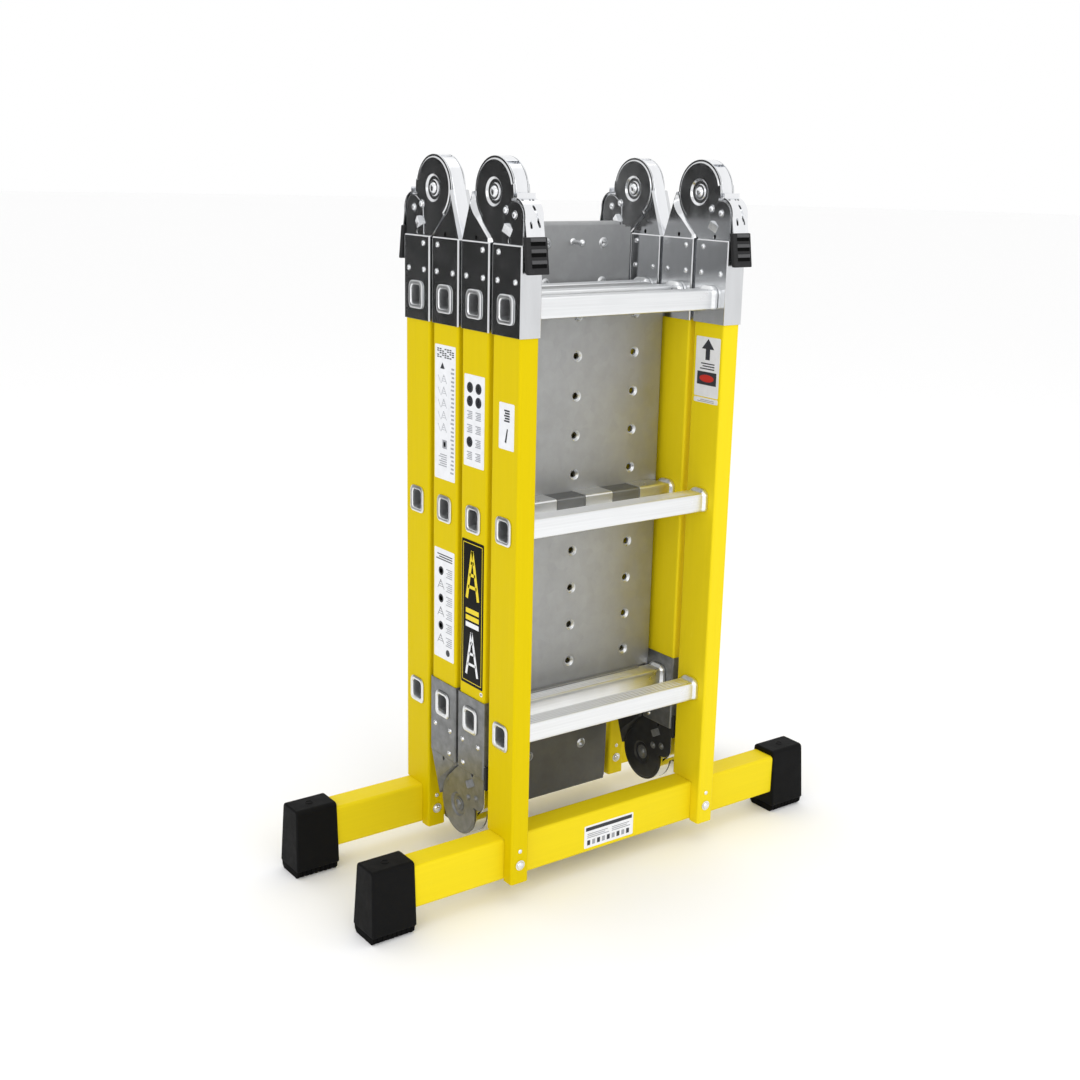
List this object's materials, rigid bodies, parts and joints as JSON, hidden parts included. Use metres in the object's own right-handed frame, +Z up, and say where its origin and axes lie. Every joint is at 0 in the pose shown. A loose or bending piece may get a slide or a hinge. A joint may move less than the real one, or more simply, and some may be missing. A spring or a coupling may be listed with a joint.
{
  "type": "multi position ladder",
  "caption": "Multi position ladder folded flat: yellow sections joined by locking lever hinges, stabiliser bars on rubber boots, and hooked platform plates stowed between the rungs.",
  "frame": {"origin": "on the floor, under the middle of the folded ladder", "axes": "+Z up, X across the ladder along the rungs, the front section with its levers faces -Y"},
  "size_m": [0.772, 0.304, 0.9775],
  "materials": {
    "yellow_fibreglass": "satin yellow glass fibre profile with a faint vertical grain",
    "rung_aluminium": "extruded, brushed along its length",
    "hinge_steel": "zinc plated pressed steel",
    "lever_chrome": "bright plated",
    "grip_plastic": "black moulded, ribbed",
    "boot_rubber": "matt black",
    "plate_steel": "galvanised sheet with pressed anti-slip holes"
  },
  "bodies": {
    "front": {"front_rail_left": "yellow_fibreglass", "front_rail_right": "yellow_fibreglass", "front_rung_low": "rung_aluminium", "front_rung_middle": "rung_aluminium", "front_rung_top": "rung_aluminium", "front_bar": "yellow_fibreglass", "boot_front_left": "boot_rubber", "boot_front_right": "boot_rubber", "hinge_front_outer_left": "hinge_steel", "hinge_front_outer_right": "hinge_steel", "hinge_front_pin_left": "lever_chrome", "hinge_front_pin_right": "lever_chrome"},
    "mid_front": {"mid_front_rail_left": "yellow_fibreglass", "mid_front_rail_right": "yellow_fibreglass", "mid_front_rung_low": "rung_aluminium", "mid_front_rung_middle": "rung_aluminium", "mid_front_rung_top": "rung_aluminium", "hinge_front_inner_left": "hinge_steel", "hinge_front_inner_right": "hinge_steel", "hinge_middle_outer_left": "hinge_steel", "hinge_middle_outer_right": "hinge_steel", "hinge_middle_pin_left": "lever_chrome", "hinge_middle_pin_right": "lever_chrome"},
    "mid_rear": {"mid_rear_rail_left": "yellow_fibreglass", "mid_rear_rail_right": "yellow_fibreglass", "mid_rear_rung_low": "rung_aluminium", "mid_rear_rung_middle": "rung_aluminium", "mid_rear_rung_top": "rung_aluminium", "hinge_middle_inner_left": "hinge_steel", "hinge_middle_inner_right": "hinge_steel", "hinge_rear_inner_left": "hinge_steel", "hinge_rear_inner_right": "hinge_steel"},
    "rear": {"rear_rail_left": "yellow_fibreglass", "rear_rail_right": "yellow_fibreglass", "rear_rung_low": "rung_aluminium", "rear_rung_middle": "rung_aluminium", "rear_rung_top": "rung_aluminium", "rear_bar": "yellow_fibreglass", "boot_rear_left": "boot_rubber", "boot_rear_right": "boot_rubber", "hinge_rear_outer_left": "hinge_steel", "hinge_rear_outer_right": "hinge_steel", "hinge_rear_pin_left": "lever_chrome", "hinge_rear_pin_right": "lever_chrome"},
    "lever_front_left": {"hinge_front_lever_left": "lever_chrome", "hinge_front_grip_left": "grip_plastic"},
    "lever_front_right": {"hinge_front_lever_right": "lever_chrome", "hinge_front_grip_right": "grip_plastic"},
    "lever_middle_left": {"hinge_middle_lever_left": "lever_chrome", "hinge_middle_grip_left": "grip_plastic"},
    "lever_middle_right": {"hinge_middle_lever_right": "lever_chrome", "hinge_middle_grip_right": "grip_plastic"},
    "lever_rear_left": {"hinge_rear_lever_left": "lever_chrome", "hinge_rear_grip_left": "grip_plastic"},
    "lever_rear_right": {"hinge_rear_lever_right": "lever_chrome", "hinge_rear_grip_right": "grip_plastic"},
    "short_plate": {"platform_plate_short": "plate_steel"},
    "long_plate": {"platform_plate_long": "plate_steel"}
  },
  "joints": [
    {"name": "fold_front", "type": "hinge", "parent": "front", "child": "mid_front", "pos_m": [0, -0.07, 0.935], "axis": [1, 0, 0], "range_deg": [0, 180]},
    {"name": "fold_middle", "type": "hinge", "parent": "mid_front", "child": "mid_rear", "pos_m": [0, 0, 0.097], "axis": [-1, 0, 0], "range_deg": [0, 80]},
    {"name": "fold_rear", "type": "hinge", "parent": "mid_rear", "child": "rear", "pos_m": [0, 0.07, 0.935], "axis": [1, 0, 0], "range_deg": [0, 180]},
    {"name": "lift_short_plate", "type": "slide", "parent": "mid_front", "child": "short_plate", "axis": [0, 0, 1], "range_m": [0, 0.24]},
    {"name": "lift_long_plate", "type": "slide", "parent": "mid_rear", "child": "long_plate", "axis": [0, 0, 1], "range_m": [0, 0.87]},
    {"name": "lever_front_left_pull", "type": "hinge", "parent": "front", "child": "lever_front_left", "pos_m": [-0.167, -0.117, 0.907], "axis": [-1, 0, 0], "range_deg": [0, 10], "stiffness_Nm_per_rad": 0.8, "springref_deg": -14.32},
    {"name": "lever_front_right_pull", "type": "hinge", "parent": "front", "child": "lever_front_right", "pos_m": [0.167, -0.117, 0.907], "axis": [-1, 0, 0], "range_deg": [0, 10], "stiffness_Nm_per_rad": 0.8, "springref_deg": -14.32},
    {"name": "lever_middle_left_pull", "type": "hinge", "parent": "mid_front", "child": "lever_middle_left", "pos_m": [-0.167, -0.047, 0.125], "axis": [1, 0, 0], "range_deg": [0, 2], "stiffness_Nm_per_rad": 0.8, "springref_deg": -14.32},
    {"name": "lever_middle_right_pull", "type": "hinge", "parent": "mid_front", "child": "lever_middle_right", "pos_m": [0.167, -0.047, 0.125], "axis": [1, 0, 0], "range_deg": [0, 2], "stiffness_Nm_per_rad": 0.8, "springref_deg": -14.32},
    {"name": "lever_rear_left_pull", "type": "hinge", "parent": "rear", "child": "lever_rear_left", "pos_m": [-0.167, 0.117, 0.907], "axis": [1, 0, 0], "range_deg": [0, 10], "stiffness_Nm_per_rad": 0.8, "springref_deg": -14.32},
    {"name": "lever_rear_right_pull", "type": "hinge", "parent": "rear", "child": "lever_rear_right", "pos_m": [0.167, 0.117, 0.907], "axis": [1, 0, 0], "range_deg": [0, 10], "stiffness_Nm_per_rad": 0.8, "springref_deg": -14.32}
  ]
}
